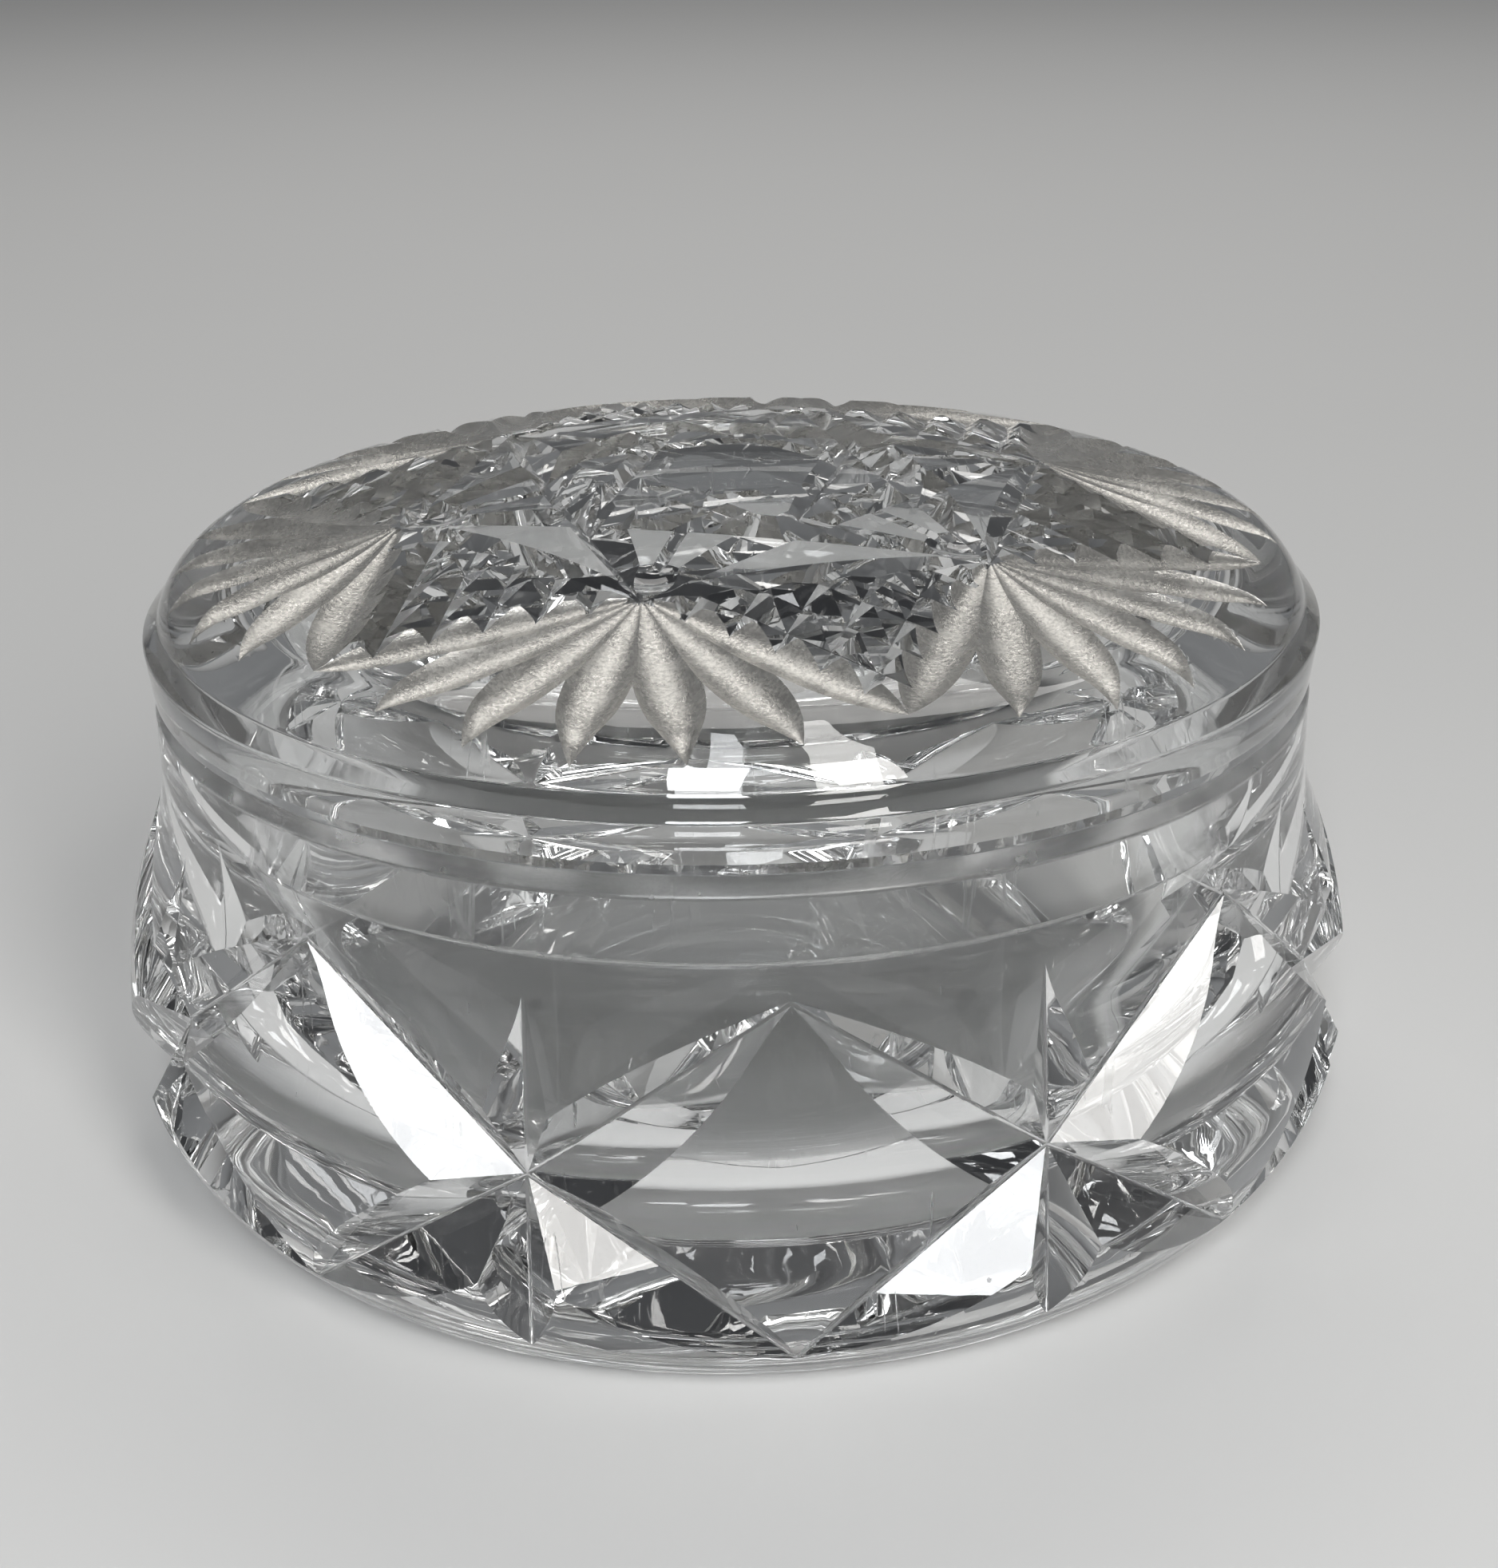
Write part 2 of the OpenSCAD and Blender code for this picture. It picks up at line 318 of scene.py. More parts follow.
def hairlines(graph, place, turn):
    """Short fine scratches that run mostly one way."""
    along = graph.node(
        "ShaderNodeMapping", None,
        {"Vector": place, "Rotation": (0.3, 0.2, turn), "Scale": (260.0, 24.0, 24.0)}
    )
    ridge = noise(graph, along, scale=1.0, detail=0.0)
    width = graph.node("ShaderNodeMath", {"operation": "ABSOLUTE"}, {0: ridge - 0.5})
    gaps = faded(graph, noise(graph, place, scale=110.0, detail=1.0), 0.58, 0.64)
    return (1 - faded(graph, width, 0.004, 0.012)) * gaps


def polished_material(name, colour, rough):
    """Clear lead crystal with faint smudges, hairlines and a few specks."""
    material, graph = new_material(name)
    place = graph.node("ShaderNodeTexCoord", None, None, "Object")
    smudge = faded(graph, noise(graph, place, scale=70.0, detail=3.0, rough=0.6), 0.54, 0.76)
    scratches = hairlines(graph, place, 0.7) + hairlines(graph, place, 2.1)
    wear = scratches + specks(graph, place, size=3.2 * MM, spread=0.3)
    wave = noise(graph, place, scale=160.0)
    base = graph.node(
        "ShaderNodeMix", {"data_type": "RGBA"},
        {"Factor": wave, "A": rgba(colour, 0.985), "B": rgba(colour)}, "Result"
    )
    bump = graph.node(
        "ShaderNodeBump", None, {"Height": wave, "Strength": 0.02, "Distance": 0.12 * MM}
    )
    surface = graph.node(
        "ShaderNodeBsdfPrincipled", None,
        {
            "Base Color": base,
            "Roughness": rough + smudge * 0.012 + wear * 0.16,
            "Normal": bump,
            "IOR": CRYSTAL_IOR,
            "Transmission Weight": 1.0,
        }
    )
    graph.node("ShaderNodeOutputMaterial", None, {"Surface": surface})
    return material


def ground_material(name, colour, rough, grain_size, contrast, transmission, silver):
    """Glass left as the stone ground it: a fine bright and dark grain, silvery or clear."""
    material, graph = new_material(name)
    place = graph.node("ShaderNodeTexCoord", None, None, "Object")
    grain = noise(graph, place, scale=1.0 / grain_size, detail=4.0, rough=0.75)
    cloud = noise(graph, place, scale=220.0, detail=3.0, rough=0.6)
    tone = faded(graph, grain * 0.75 + cloud * 0.25, 0.36, 0.64)
    fleck = specks(graph, place, size=2 * grain_size, spread=0.35)
    base = graph.node(
        "ShaderNodeMix", {"data_type": "RGBA"},
        {
            "Factor": tone,
            "A": rgba(colour, 1 - 0.34 * contrast),
            "B": rgba(colour, 1 + 0.12 * contrast),
        },
        "Result"
    )
    base = graph.node(
        "ShaderNodeMix", {"data_type": "RGBA"},
        {"Factor": fleck, "A": base, "B": rgba(colour, 1 + 0.5 * contrast)}, "Result"
    )
    bump = graph.node(
        "ShaderNodeBump", None, {"Height": grain, "Strength": 0.5 * contrast, "Distance": 0.1 * MM}
    )
    surface = graph.node(
        "ShaderNodeBsdfPrincipled", None,
        {
            "Base Color": base,
            "Roughness": rough + (cloud - 0.5) * 0.25,
            "Normal": bump,
            "Metallic": silver,
            "IOR": CRYSTAL_IOR,
            "Transmission Weight": transmission,
        }
    )
    graph.node("ShaderNodeOutputMaterial", None, {"Surface": surface})
    return material


def glass_finishes():
    """The three finishes of the glass, made once, in the order of their marks."""
    names = ("crystal_polished", "crystal_satin", "crystal_ground")
    found = [bpy.data.materials.get(name) for name in names]
    if None not in found:
        return found
    look = bpy.context.scene.candy_glass
    return [
        polished_material(names[POLISHED], look.clear, look.polish),
        ground_material(
            names[SATIN], look.satin, look.satin_rough,
            grain_size=0.42 * MM, contrast=1.2, transmission=0.4, silver=0.66
        ),
        ground_material(
            names[GROUND], look.ground, look.ground_rough,
            grain_size=0.3 * MM, contrast=0.4, transmission=1.0, silver=0.0
        ),
    ]


def arc(centre, radius, start, end, step):
    """Points along an arc from one angle to another, with steps no wider than step degrees."""
    steps = max(2, math.ceil(abs(end - start) / math.radians(step)))
    turns = [start + (end - start) * i / steps for i in range(steps + 1)]
    return [
        Vector((centre[0] + radius * math.cos(t), centre[1] + radius * math.sin(t))) for t in turns
    ]


def eased_from(corner, other, ease):
    """Where the rounding of a corner starts on the line to another point."""
    way = other - corner
    return corner + way.normalized() * min(ease, EASE_SHARE * way.length)


def eased_outline(runs, ease, steps=4):
    """One outline from runs of (points, finish) that meet in corners, with the corners rounded."""
    points, marks = [], []
    for number, (run, finish) in enumerate(runs):
        run = [Vector(p) for p in run]
        if number > 0:
            corner = run[0]
            back = eased_from(corner, points[-1], ease)
            ahead = eased_from(corner, run[1], ease)
            for i in range(steps + 1):
                t = i / steps
                points.append((1 - t) ** 2 * back + 2 * t * (1 - t) * corner + t ** 2 * ahead)
                marks.append(finish if i else runs[number - 1][1])
            run = run[1:]
        last = number == len(runs) - 1
        for point in run if last else run[:-1]:
            points.append(point)
            marks.append(finish)
    return points, marks[1:]


def marked_mesh(name, points, faces, cuts, finishes):
    """A mesh whose faces carry the number of their cut and the mark of their finish."""
    mesh = bpy.data.meshes.new(name)
    mesh.from_pydata([tuple(p) for p in points], [], faces)
    for key, values in (("cut", cuts), ("finish", finishes)):
        mesh.attributes.new(key, "INT", "FACE").data.foreach_set("value", values)
    mesh.update()
    return mesh


def turned_mesh(name, outline, marks, segments, cut=0, first=0.0):
    """A closed turned solid from an outline of (radius, height) that ends on the axis."""
    points, rings = [], []
    for radius, height in outline:
        around = 1 if radius < ON_AXIS else segments
        rings.append([len(points) + i for i in range(around)])
        for i in range(around):
            turn = first + FULL_TURN * i / segments
            points.append((radius * math.cos(turn), radius * math.sin(turn), height))
    faces, finishes = [], []
    for low, high, mark in zip(rings, rings[1:], marks):
        for i in range(segments):
            j = (i + 1) % segments
            face = [
                low[i % len(low)], low[j % len(low)], high[j % len(high)], high[i % len(high)]
            ]
            faces.append(list(dict.fromkeys(face)))
            finishes.append(mark)
    return marked_mesh(name, points, faces, [cut] * len(faces), finishes)


cut_numbers = itertools.count(1)


def straight_cut(name, section, start, end, out, finish):
    """A straight cut from start to end, with its section opening along out."""
    along = (end - start).normalized()
    up = (out - out.dot(along) * along).normalized()
    side = up.cross(along)
    size = len(section)
    points = [place + x * side + y * up for place in (start, end) for x, y in section]
    faces = [list(range(size))[::-1], list(range(size, 2 * size))]
    faces += [[i, (i + 1) % size, size + (i + 1) % size, size + i] for i in range(size)]
    # Two ends, the faces of a rounded valley, then the right side, the top and the left side
    first, last, valley, *sides = (next(cut_numbers) for _ in range(6))
    cuts = [first, last] + [valley] * (size - len(sides)) + sides
    return marked_mesh(name, points, faces, cuts, [finish] * len(faces))


def hollow_cut(name, stations, slope, rise, finish):
    """A boat-shaped cut through stations of (place, up, side, half width).

    Its section is an arc whose edges meet the glass at a slope and run on above it.
    """
    beyond = rise * Vector((math.cos(slope), math.sin(slope)))
    points = []
    for place, up, side, half in stations:
        radius = half / math.sin(slope)
        centre = (0, radius * math.cos(slope))
        section = arc(centre, radius, -math.pi / 2 - slope, -math.pi / 2 + slope, step=7)
        right = section[-1] + beyond
        section += [right, Vector((-right.x, right.y))]
        points += [place + x * side + y * up for x, y in section]
    size = len(points) // len(stations)
    faces = [list(range(size))[::-1], list(range(len(points) - size, len(points)))]
    for low in range(0, len(points) - size, size):
        faces += [
            [low + i, low + (i + 1) % size, low + size + (i + 1) % size, low + size + i]
            for i in range(size)
        ]
    hollow = next(cut_numbers)
    cuts = [next(cut_numbers), next(cut_numbers)] + [hollow] * (len(faces) - 2)
    return marked_mesh(name, points, faces, cuts, [finish] * len(faces))


def mitre_section(mitre, height, valley_r=0.0):
    """Section of a mitre cut: a V with its edge at the origin, or rounded there."""
    half = height * math.tan(mitre / 2)
    bottom = [(0, 0)]
    if valley_r:
        bend = (math.pi - mitre) / 2
        centre = (0, valley_r / math.sin(mitre / 2))
        bottom = arc(centre, valley_r, -math.pi / 2 - bend, -math.pi / 2 + bend, step=18)
    return bottom + [(half, height), (-half, height)]


def round_point(turn, radius, height):
    """Point at an angle from the front."""
    return Vector((radius * math.sin(turn), -radius * math.cos(turn), height))


def cut_tree(name, cutters):
    """Geometry Nodes that repeat each cutter round the axis and cut it out of the blank."""
    tree = bpy.data.node_groups.new(name, "GeometryNodeTree")
    sockets = tree.interface
    sockets.new_socket("Blank", in_out="INPUT", socket_type="NodeSocketGeometry")
    sockets.new_socket("Count", in_out="INPUT", socket_type="NodeSocketInt")
    sockets.new_socket("First Angle", in_out="INPUT", socket_type="NodeSocketFloat")
    for finish in FINISHES:
        sockets.new_socket(finish, in_out="INPUT", socket_type="NodeSocketMaterial")
    sockets.new_socket("Cut", in_out="OUTPUT", socket_type="NodeSocketGeometry")
    graph = Graph(tree)
    given = tree.nodes.new("NodeGroupInput").outputs
    number = Term(graph, given["Count"])
    index = graph.node("GeometryNodeInputIndex")
    turn = index * (FULL_TURN / number) + Term(graph, given["First Angle"])
    spin = graph.node(
        "FunctionNodeAxisAngleToRotation", None, {"Axis": (0, 0, 1), "Angle": turn}
    )
    points = graph.node("GeometryNodePoints", None, {"Count": number})
    copies = []
    for cutter in cutters:
        shape = graph.node("GeometryNodeObjectInfo", None, {"Object": cutter}, "Geometry")
        copies.append(
            graph.node(
                "GeometryNodeInstanceOnPoints", None,
                {"Points": points, "Instance": shape, "Rotation": spin}
            )
        )
    solid = graph.node(
        "GeometryNodeMeshBoolean", {"operation": "DIFFERENCE", "solver": "MANIFOLD"},
        {0: Term(graph, given["Blank"]), 1: copies}
    )
    solid = graph.node("GeometryNodeRealizeInstances", None, {"Geometry": solid})
    mark = graph.node(
        "GeometryNodeInputNamedAttribute", {"data_type": "INT"}, {"Name": "finish"}
    )
    for value, finish in enumerate(FINISHES):
        chosen = graph.node(
            "FunctionNodeCompare", {"data_type": "INT", "operation": "EQUAL"},
            {"A": mark, "B": value}
        )
        solid = graph.node(
            "GeometryNodeSetMaterial", None,
            {"Geometry": solid, "Selection": chosen, "Material": Term(graph, given[finish])}
        )
    graph.node("NodeGroupOutput", None, {"Cut": solid})
    return tree


def cut_piece(name, blank, cutters, copies, first_angle):
    """A finished piece: the blank with every cut repeated round it, as a plain mesh."""
    scene = bpy.context.scene
    helpers = [bpy.data.objects.new(mesh.name, mesh) for mesh in cutters]
    piece = bpy.data.objects.new(name, blank)
    for one in helpers + [piece]:
        scene.collection.objects.link(one)
    for finish in glass_finishes():
        blank.materials.append(finish)
    modifier = piece.modifiers.new("Cuts", "NODES")
    modifier.node_group = cut_tree(name + "_cuts", helpers)
    inputs = {"Count": copies, "First Angle": first_angle}
    inputs.update(zip(FINISHES, glass_finishes()))
    for item in modifier.node_group.interface.items_tree:
        if item.in_out == "INPUT" and item.name in inputs:
            modifier[item.identifier] = inputs[item.name]
    evaluated = piece.evaluated_get(bpy.context.evaluated_depsgraph_get())
    mesh = bpy.data.meshes.new_from_object(evaluated)
    piece.modifiers.remove(modifier)
    piece.data = mesh
    mesh.name = name
    for helper in helpers:
        bpy.data.objects.remove(helper)
    finish_edges(mesh)
    if not mesh.polygons:
        raise RuntimeError(f"{name} came out empty")
    return piece


def finish_edges(mesh, limit=math.radians(25)):
    """Smooth faces, with hard edges along every cut; the marks are taken off again."""
    bm = bmesh.new()
    bm.from_mesh(mesh)
    bmesh.ops.triangulate(bm, faces=[face for face in bm.faces if len(face.verts) > 4])
    bmesh.ops.dissolve_degenerate(bm, edges=bm.edges, dist=SLIVER)
    cut = bm.faces.layers.int["cut"]
    for face in bm.faces:
        face.smooth = True
    for edge in bm.edges:
        sides = edge.link_faces
        if len(sides) != 2:
            raise RuntimeError(f"{mesh.name} has an open edge")
        edge.smooth = sides[0][cut] == sides[1][cut] and edge.calc_face_angle(0.0) < limit
    bm.to_mesh(mesh)
    bm.free()
    for key in ("cut", "finish"):
        mesh.attributes.remove(mesh.attributes[key])
    mesh.update()


def take_part(piece, node, body):
    """The piece stands for a solid of the frame and moves with its body."""
    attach(piece, body)
    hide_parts(node)


class BowlShape:
    """Outline and cuts of the bowl."""

    segments = 240
    # How far a star cut runs on past its point and back past the middle, and its height
    overrun = 8 * MM
    back = 2 * MM
    rise = 13 * MM

    def __init__(self, sizes):
        self.sizes = s = sizes
        self.belly_r = s.belly_d / 2
        self.neck_r = self.belly_r - s.neck_inset
        self.mouth_r = self.neck_r - s.neck_wall
        self.rise_c = Vector((self.belly_r - s.rise_r, s.belly_z))
        self.under_c = Vector((self.belly_r - s.under_r, s.belly_z))
        blend_x = self.neck_r + s.blend_r
        climb = math.sqrt((s.rise_r + s.blend_r) ** 2 - (blend_x - self.rise_c.x) ** 2)
        self.blend_c = Vector((blend_x, s.belly_z + climb))
        reach = self.blend_c - self.rise_c
        self.tangent = math.atan2(reach.y, reach.x)

    def radius(self, z):
        """Radius of the outside at a height."""
        s = self.sizes
        if z < s.belly_z:
            return self.under_c.x + math.sqrt(s.under_r ** 2 - (z - s.belly_z) ** 2)
        if z < self.rise_c.y + s.rise_r * math.sin(self.tangent):
            return self.rise_c.x + math.sqrt(s.rise_r ** 2 - (z - s.belly_z) ** 2)
        if z < self.blend_c.y:
            return self.blend_c.x - math.sqrt(s.blend_r ** 2 - (z - self.blend_c.y) ** 2)
        return self.neck_r

    def blank(self):
        """The turned bowl before it is cut."""
        s = self.sizes
        base = -math.asin(s.belly_z / s.under_r)
        under = arc(self.under_c, s.under_r, base, 0, step=4)
        rise = arc(self.rise_c, s.rise_r, 0, self.tangent, step=1.5)
        blend = arc(self.blend_c, s.blend_r, math.pi + self.tangent, math.pi, step=3)
        inside_c = (self.mouth_r - s.inside_r, s.floor_t + s.inside_r)
        inside = arc(inside_c, s.inside_r, 0, -math.pi / 2, step=4)
        bevel_foot = (self.neck_r, s.height - s.rim_bevel)
        bevel_top = (self.neck_r - s.rim_bevel, s.height)
        lip = (self.mouth_r, s.height)
        outline, marks = eased_outline(
            [
                ([(0, 0), under[0]], POLISHED),
                (under + rise[1:] + blend[1:] + [bevel_foot], POLISHED),
                ([bevel_foot, bevel_top], GROUND),
                ([bevel_top, lip], POLISHED),
                ([lip] + inside + [(0, s.floor_t)], POLISHED),
            ],
            s.ease
        )
        return turned_mesh("bowl_blank", outline, marks, self.segments, first=BLANK_TURN)

    def star(self):
        """The cuts of one six-pointed star that faces the front."""
        s = self.sizes
        half_step = math.pi / s.stars
        middle_z = (s.peak_z + s.foot_z) / 2
        middle = round_point(0, self.radius(middle_z) - s.star_depth, middle_z)
        ends = [
            (round_point(turn, self.radius(z) - s.point_depth, z), self.overrun)
            for z in (s.foot_z, s.peak_z)
            for turn in (-half_step, half_step)
        ]
        foot = round_point(0, self.radius(s.foot_z) - s.point_depth, s.foot_z)
        ends.append((foot, self.overrun))
        top_z = s.peak_z + s.upright_rise
        ends.append((round_point(0, self.radius(top_z), top_z), 0))
        section = mitre_section(s.mitre, self.rise, s.valley_r)
        cuts = []
        for number, (end, overrun) in enumerate(ends):
            along = (end - middle).normalized()
            cuts.append(
                straight_cut(
                    f"star_cut_{number}", section,
                    middle - self.back * along, end + overrun * along, FRONT, POLISHED
                )
            )
        return cuts


class LidShape:
    """Outline and cuts of the lid."""

    segments = 240
    # Sections along a leaf, the height of its cut and its half width at the points
    leaf_stations = 30
    leaf_rise = 2.5 * MM
    leaf_point = 0.02 * MM
    # How far a star cut runs on past its ends, and the heights of the straight cuts
    chord_run = 2 * MM
    chord_rise = 5 * MM
    hatch_rise = 4 * MM
    # Sides of the thumb's ball, and the angle below its middle at which the cut is closed
    thumb_segments = 72
    thumb_edge = math.radians(25)

    def __init__(self, sizes):
        self.sizes = s = sizes
        self.rim_r = s.rim_d / 2
        self.rim_top = s.seat_z + s.rim_h
        self.foot = Vector((self.rim_r - s.slope_w, self.rim_top + s.slope_h))
        self.shoulder_c = self.foot - s.shoulder_r * Vector((
            math.sin(s.shoulder_end), math.cos(s.shoulder_end)
        ))
        drop = math.sqrt((s.dome_r - s.shoulder_r) ** 2 - self.shoulder_c.x ** 2)
        self.dome_z = self.shoulder_c.y - drop
        self.dome_edge = self.shoulder_c.x * s.dome_r / (s.dome_r - s.shoulder_r)
        self.tip_r = self.rim_r - s.tip_inset
        self.root_r = self.tip_r - s.leaf_l

    def top(self, radius):
        """Height of the lid's top at a radius."""
        s = self.sizes
        if radius < self.dome_edge:
            return self.dome_z + math.sqrt(s.dome_r ** 2 - radius ** 2)
        return self.shoulder_c.y + math.sqrt(s.shoulder_r ** 2 - (radius - self.shoulder_c.x) ** 2)

    def point(self, turn, radius, depth=0.0):
        """Point on the lid's top, sunk by a depth."""
        return round_point(turn, radius, self.top(radius) - depth)

    def blank(self):
        """The turned lid before it is cut."""
        s = self.sizes
        half = math.pi / 2
        dome_end = math.acos(self.dome_edge / s.dome_r)
        dome = arc((0, self.dome_z), s.dome_r, half, dome_end, step=0.5)
        shoulder = arc(
            self.shoulder_c, s.shoulder_r, dome_end, half - s.shoulder_end, step=4
        )
        rim_edge = (self.rim_r, self.rim_top)
        rim_foot = (self.rim_r - s.rim_lean, s.seat_z)
        seat = (s.ring_r, s.seat_z)
        bevel_top = (s.ring_r, s.ring_z + s.ring_bevel)
        bevel_foot = (s.ring_r - s.ring_bevel, s.ring_z)
        bore = s.ring_r - s.ring_t
        under_r = s.dome_r - s.lid_t
        hollow_x = bore - s.hollow_r
        hollow_z = self.dome_z + math.sqrt((under_r - s.hollow_r) ** 2 - hollow_x ** 2)
        under_end = math.atan2(hollow_z - self.dome_z, hollow_x)
        hollow = arc((hollow_x, hollow_z), s.hollow_r, 0, under_end, step=4)
        underside = arc((0, self.dome_z), under_r, under_end, half, step=0.5)
        outline, marks = eased_outline(
            [
                (dome + shoulder[1:], POLISHED),
                ([shoulder[-1], rim_edge], POLISHED),
                ([rim_edge, rim_foot], POLISHED),
                ([rim_foot, seat], POLISHED),
                ([seat, bevel_top], POLISHED),
                ([bevel_top, bevel_foot], GROUND),
                ([bevel_foot, (bore, s.ring_z)], GROUND),
                ([(bore, s.ring_z)] + hollow + underside[1:], POLISHED),
            ],
            s.ease
        )
        return turned_mesh(
            "lid_blank", outline[::-1], marks[::-1], self.segments, first=BLANK_TURN
        )

    def normal(self, place):
        """Direction square to the lid's top at a place."""
        s = self.sizes
        radius = math.hypot(place.x, place.y)
        if radius < self.dome_edge:
            lean = math.asin(radius / s.dome_r)
        else:
            lean = math.asin((radius - self.shoulder_c.x) / s.shoulder_r)
        out = math.sin(lean) / radius
        return Vector((out * place.x, out * place.y, math.cos(lean)))

    def leaf(self, name, root, tip):
        """One leaf from the fan's root to a tip: pointed, and bluntest toward the tip."""
        s = self.sizes
        stations = []
        for number in range(self.leaf_stations + 1):
            part = (1 - math.cos(math.pi * number / self.leaf_stations)) / 2
            place = root.lerp(tip, part)
            place.z = self.top(math.hypot(place.x, place.y))
            if part < s.leaf_widest:
                narrow = (1 - part / s.leaf_widest) ** 2
            else:
                narrow = ((part - s.leaf_widest) / (1 - s.leaf_widest)) ** 3
            half = max(s.leaf_w / 2 * (1 - narrow), self.leaf_point)
            up = self.normal(place)
            stations.append((place, up, up.cross(tip - root).normalized(), half))
        for end, way in ((0, -1), (-1, 1)):
            place, up, side, half = stations[end]
            beyond = place + way * self.leaf_rise / 4 * side.cross(up) + self.leaf_rise / 2 * up
            stations.insert(0 if end == 0 else len(stations), (beyond, up, side, half))
        return hollow_cut(name, stations, s.leaf_slope, self.leaf_rise, SATIN)

    def fan(self):
        """Leaf cuts that spread from one root, and the thumb cut at the root."""
        s = self.sizes
        root = self.point(0, self.root_r)
        step = math.pi / s.fans / s.leaf_pairs
        cuts = []
        for number in range(-s.leaf_pairs, s.leaf_pairs + 1):
            fall = s.tip_fall * (number / s.leaf_pairs) ** 2
            tip = self.point(number * step, self.tip_r - fall)
            cuts.append(self.leaf(f"leaf_cut_{number}", root, tip))
        return cuts + [self.thumb()]

    def thumb(self):
        """The hollow of the thumb cut: the lower part of a ball, closed above the glass."""
        s = self.sizes
        middle = self.point(0, self.root_r - s.thumb_r / 2, s.thumb_depth - s.thumb_r)
        hollow = arc((0, 0), s.thumb_r, -math.pi / 2, -self.thumb_edge, step=3)
        outline = hollow + [(0, hollow[-1].y)]
        marks = [POLISHED] * (len(outline) - 1)
        mesh = turned_mesh("thumb_cut", outline, marks, self.thumb_segments, next(cut_numbers))
        for vertex in mesh.vertices:
            vertex.co += middle
        return mesh

    def hatching(self):
        """Lines in two crossing directions that fill the field between two fans."""
        s = self.sizes
        half_step = math.pi / s.fans
        tip = self.point(half_step, self.tip_r - s.tip_fall, s.hatch_depth)
        section = mitre_section(s.hatch_angle, self.hatch_rise)
        cuts = []
        for near_turn, far_turn in ((0, 2 * half_step), (2 * half_step, 0)):
            near = self.point(near_turn, self.root_r, s.hatch_depth)
            far = self.point(far_turn, self.root_r, s.hatch_depth)
            for number in range(1, s.hatch_spaces):
                start = near.lerp(far, number / s.hatch_spaces)
                end = tip.lerp(far, number / s.hatch_spaces)
                cuts.append(straight_cut(f"hatch_cut_{number}", section, start, end, UP, POLISHED))
        return cuts

    def middle(self):
        """Star cuts from root to root and inward, and the smaller star inside them."""
        s = self.sizes
        step = FULL_TURN / s.fans
        depths = [s.chord_depth - kind * s.chord_step for kind in range(3)]
        roots = [self.point(0, self.root_r, depth) for depth in depths]
        inner = [self.point((skip + 0.5) * step, s.inner_r, s.chord_depth) for skip in (0, 2)]
        section = mitre_section(s.chord_angle, self.chord_rise)
        ends = [
            (roots[0], self.point(step, self.root_r, depths[0]), self.chord_run),
            (roots[1], self.point(2 * step, self.root_r, depths[1]), self.chord_run),
            (roots[2], self.point(0, s.ray_end_r), 0),
            (*inner, self.chord_run),
        ]
        cuts = []
        for number, (start, end, overrun) in enumerate(ends):
            along = (end - start).normalized()
            cuts.append(
                straight_cut(
                    f"middle_cut_{number}", section,
                    start - self.chord_run * along, end + overrun * along, UP, POLISHED
                )
            )
        return cuts


class CANDY_OT_bowl(bpy.types.Operator):
    """Turns the bowl and cuts the stars round it"""

    bl_idname = "candy.bowl"
    bl_label = "Make Bowl"

    def execute(self, context):
        shape = BowlShape(context.scene.candy_bowl)
        stars = context.scene.candy_bowl.stars
        bowl = cut_piece(
            "crystal_bowl", shape.blank(), shape.star(), stars, math.pi / stars
        )
        take_part(bowl, "bowl", "bowl_body")
        return {"FINISHED"}


class CANDY_OT_lid(bpy.types.Operator):
    """Turns the lid and cuts the leaves, the hatching and the star into its top"""

    bl_idname = "candy.lid"
    bl_label = "Make Lid"

    def execute(self, context):
        sizes = context.scene.candy_lid
        shape = LidShape(sizes)
        cuts = shape.fan() + shape.hatching() + shape.middle()
        lid = cut_piece("crystal_lid", shape.blank(), cuts, sizes.fans, sizes.turn)
        take_part(lid, "lid", "lid_body")
        return {"FINISHED"}


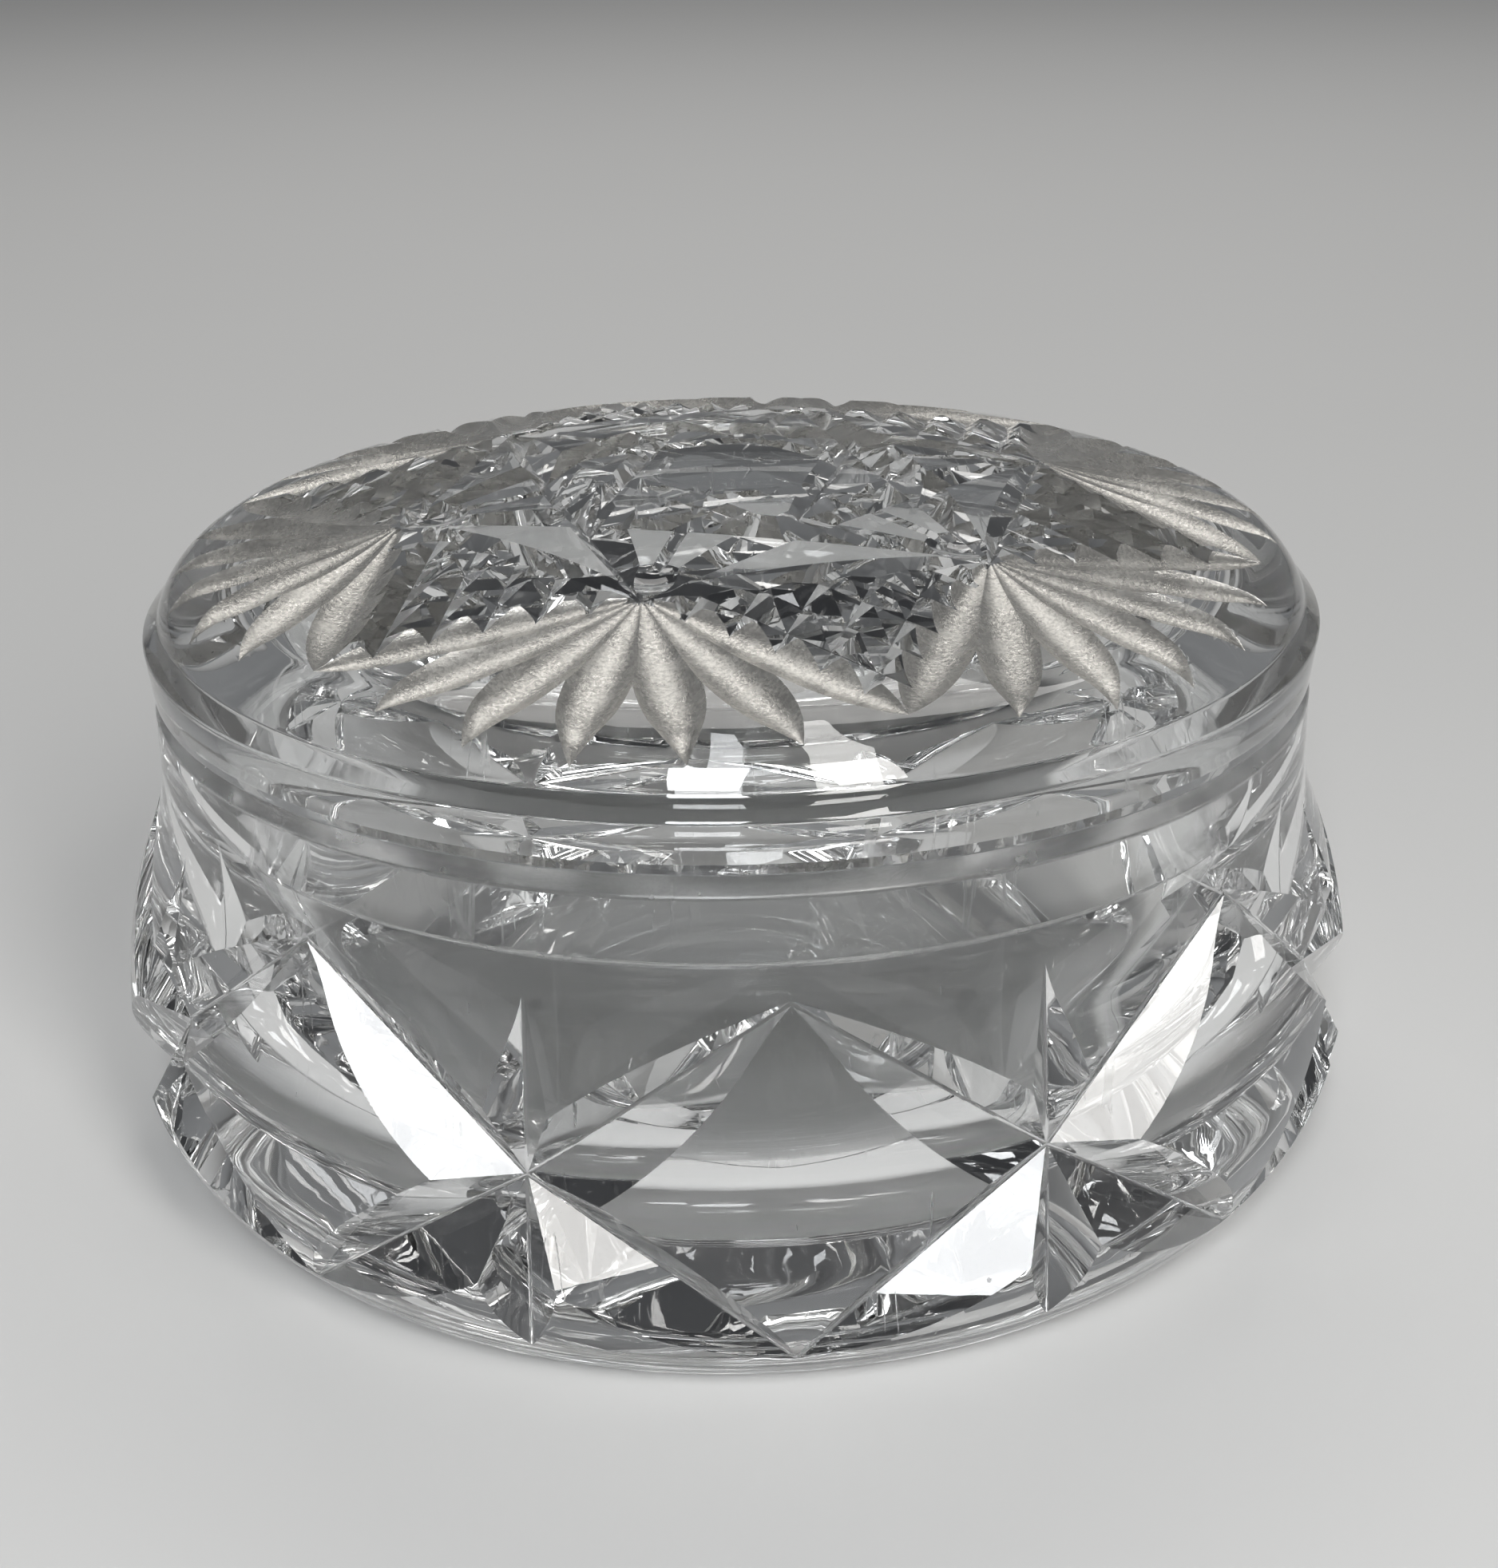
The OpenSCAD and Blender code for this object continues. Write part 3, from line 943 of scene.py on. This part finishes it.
class CANDY_OT_stage(bpy.types.Operator):
    """Lays the floor and sets the light and the camera"""

    bl_idname = "candy.stage"
    bl_label = "Make Stage"

    def execute(self, context):
        look = context.scene.candy_stage
        self.lay_floor(context, look)
        self.light_room(context, look)
        self.hang_lamps(context)
        self.place_camera(context, look)
        context.scene.view_settings.view_transform = "Standard"
        # Light passes through many cut faces before it leaves the glass.
        cycles = context.scene.cycles
        cycles.max_bounces = 32
        cycles.transmission_bounces = 32
        cycles.glossy_bounces = 16
        return {"FINISHED"}

    def lay_floor(self, context, look):
        """A plain round floor, painted paler behind the box as painted light where the lamps'
        light falls off, and painted darker close to the lamps in front as painted shade.
        """
        bm = bmesh.new()
        bmesh.ops.create_circle(bm, cap_ends=True, segments=128, radius=FLOOR_R)
        bmesh.ops.translate(bm, verts=bm.verts, vec=FLOOR_MIDDLE)
        mesh = bpy.data.meshes.new("studio_floor")
        bm.to_mesh(mesh)
        bm.free()
        floor = bpy.data.objects.new("studio_floor", mesh)
        context.scene.collection.objects.link(floor)
        material, graph = new_material("floor_paper")
        place = graph.node("ShaderNodeTexCoord", None, None, "Object")
        cloud = noise(graph, place, scale=9.0, detail=3.0)
        away = graph.node("ShaderNodeSeparateXYZ", None, {"Vector": place}, "Y")
        # Painted light: the floor's colour is raised toward the back, where the lamps' light falls
        # off.
        painted_far_light = faded(graph, away, 0.0, 1.0) * 0.95 + cloud * 0.05
        colour = graph.node(
            "ShaderNodeMix", {"data_type": "RGBA"},
            {"Factor": painted_far_light, "A": rgba(look.floor), "B": rgba(look.floor, 1.45)}, "Result"
        )
        # Painted shade: the floor's colour is darkened toward the lamps in front.
        painted_front_shade = faded(graph, away, -0.85, -0.1)
        colour = graph.node(
            "ShaderNodeMix", {"data_type": "RGBA"},
            {"Factor": painted_front_shade, "A": rgba(look.floor, 0.2), "B": colour}, "Result"
        )
        surface = graph.node(
            "ShaderNodeBsdfPrincipled", None, {"Base Color": colour, "Roughness": 0.8}
        )
        graph.node("ShaderNodeOutputMaterial", None, {"Surface": surface})
        mesh.materials.append(material)

    def light_room(self, context, look):
        """Even light from the room: grey near the floor and dark overhead."""
        world = bpy.data.worlds.new("studio_room")
        context.scene.world = world
        world.use_nodes = True
        world.node_tree.nodes.clear()
        graph = Graph(world.node_tree)
        place = graph.node("ShaderNodeTexCoord", None, None, "Generated")
        height = graph.node("ShaderNodeSeparateXYZ", None, {"Vector": place}, "Z")
        colour = graph.node(
            "ShaderNodeMix", {"data_type": "RGBA"},
            {
                "Factor": faded(graph, height, 0.02, 0.75),
                "A": rgba(look.horizon),
                "B": rgba(look.ceiling),
            },
            "Result"
        )
        shade = graph.node("ShaderNodeBackground", None, {"Color": colour, "Strength": 1.0})
        graph.node("ShaderNodeOutputWorld", None, {"Surface": shade})

    def hang_lamps(self, context):
        """Three soft boxes: two tall ones beside the camera and one high behind the box."""
        # Name, place, width and height, watts and colour
        lamps = (
            ("lamp_left", (-0.17, -0.96, 0.75), (0.26, 0.66), 10.5, (0.97, 0.985, 1.0)),
            ("lamp_right", (0.35, -0.91, 0.75), (0.26, 0.66), 7.3, (1.0, 0.985, 0.96)),
            ("lamp_back", (0.08, 0.68, 1.06), (0.90, 0.36), 3.0, (1.0, 0.98, 0.95)),
        )
        for name, place, size, watts, colour in lamps:
            light = bpy.data.lights.new(name, "AREA")
            light.shape = "RECTANGLE"
            light.size, light.size_y = size
            light.energy = watts
            light.color = colour
            lamp = bpy.data.objects.new(name, light)
            lamp.location = place
            # Seen through the lid's cuts, the lamp behind would be large white patches.
            lamp.visible_transmission = name != "lamp_back"
            aim = LAMP_AIM - Vector(place)
            lamp.rotation_euler = aim.to_track_quat("-Z", "Y").to_euler()
            context.scene.collection.objects.link(lamp)

    def place_camera(self, context, look):
        """The camera at the photograph's viewing angle."""
        camera = bpy.data.objects.new("camera", bpy.data.cameras.new("camera"))
        camera.data.lens = look.lens
        camera.data.sensor_width = FILM_WIDTH
        camera.location = look.camera_place
        level = Euler((math.pi / 2 - look.camera_pitch, 0.0, look.camera_pan))
        camera.rotation_mode = "QUATERNION"
        camera.rotation_quaternion = level.to_quaternion() @ Quaternion(UP, look.camera_roll)
        context.scene.collection.objects.link(camera)
        context.scene.camera = camera


class CANDY_PT_panel(bpy.types.Panel):
    """Lists the pieces and the sizes"""

    bl_idname = "CANDY_PT_panel"
    bl_label = "Candy Box"
    bl_space_type = "VIEW_3D"
    bl_region_type = "UI"
    bl_category = "Candy Box"

    def draw(self, context):
        for operator in OPERATORS:
            self.layout.operator(operator.bl_idname)
        for name, group in GROUPS.items():
            box = self.layout.box()
            for key in group.__annotations__:
                box.prop(getattr(context.scene, name), key)


GROUPS = {
    "candy_bowl": BowlSizes,
    "candy_lid": LidSizes,
    "candy_glass": GlassLook,
    "candy_stage": StageLook,
}
OPERATORS = (CANDY_OT_bowl, CANDY_OT_lid, CANDY_OT_stage)


def register():
    for group in GROUPS.values():
        bpy.utils.register_class(group)
    for operator in OPERATORS:
        bpy.utils.register_class(operator)
    bpy.utils.register_class(CANDY_PT_panel)
    for name, group in GROUPS.items():
        setattr(bpy.types.Scene, name, PointerProperty(type=group))


def unregister():
    for name in GROUPS:
        delattr(bpy.types.Scene, name)
    bpy.utils.unregister_class(CANDY_PT_panel)
    for operator in reversed(OPERATORS):
        bpy.utils.unregister_class(operator)
    for group in reversed(list(GROUPS.values())):
        bpy.utils.unregister_class(group)


def main():
    register()
    bpy.ops.candy.bowl()
    bpy.ops.candy.lid()
    bpy.ops.candy.stage()


if __name__ == "__main__":
    main()
